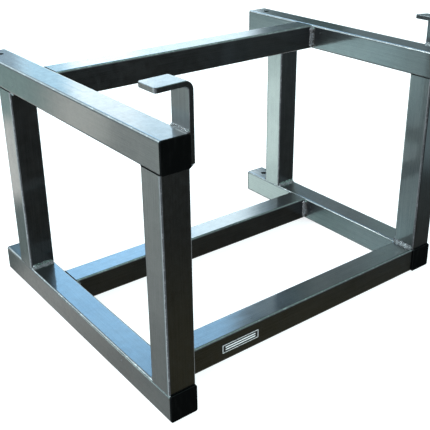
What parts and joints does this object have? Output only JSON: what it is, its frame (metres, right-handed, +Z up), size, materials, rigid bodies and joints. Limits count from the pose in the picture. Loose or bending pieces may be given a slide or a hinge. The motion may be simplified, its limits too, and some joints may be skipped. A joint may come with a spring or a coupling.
{
  "type": "engine stand",
  "caption": "Low welded engine stand: two side frames of square steel tube, cross members, bent flat-bar retaining hooks and plastic end caps.",
  "frame": {"origin": "on the floor below the middle of the stand's overall box", "axes": "+X from the left side frame to the right one, -Y the front, +Z up"},
  "size_m": [0.7101, 0.606, 0.5317],
  "materials": {
    "paint": "anthracite metallic gloss paint with a light orange-peel texture",
    "weld_paint": "anthracite gloss paint over rippled weld beads",
    "cap_plastic": "black polyethylene, matte",
    "label": "blank off-white adhesive label"
  },
  "bodies": {
    "root": {"left_bottom_rail": "paint", "left_top_rail": "paint", "right_bottom_rail": "paint", "right_top_rail": "paint", "left_front_post": "paint", "left_rear_post": "paint", "right_front_post": "paint", "right_rear_post": "paint", "front_lower_cross_member": "paint", "rear_lower_cross_member": "paint", "upper_cross_member": "paint", "left_hook": "paint", "right_hook": "paint", "left_bottom_front_cap": "cap_plastic", "left_bottom_rear_cap": "cap_plastic", "left_top_front_cap": "cap_plastic", "left_top_rear_cap": "cap_plastic", "right_bottom_front_cap": "cap_plastic", "right_bottom_rear_cap": "cap_plastic", "right_top_front_cap": "cap_plastic", "right_top_rear_cap": "cap_plastic", "left_frame_welds": "weld_paint", "right_frame_welds": "weld_paint", "front_lower_cross_welds": "weld_paint", "rear_lower_cross_welds": "weld_paint", "upper_cross_welds": "weld_paint", "left_hook_welds": "weld_paint", "right_hook_welds": "weld_paint", "label": "label"}
  },
  "joints": []
}
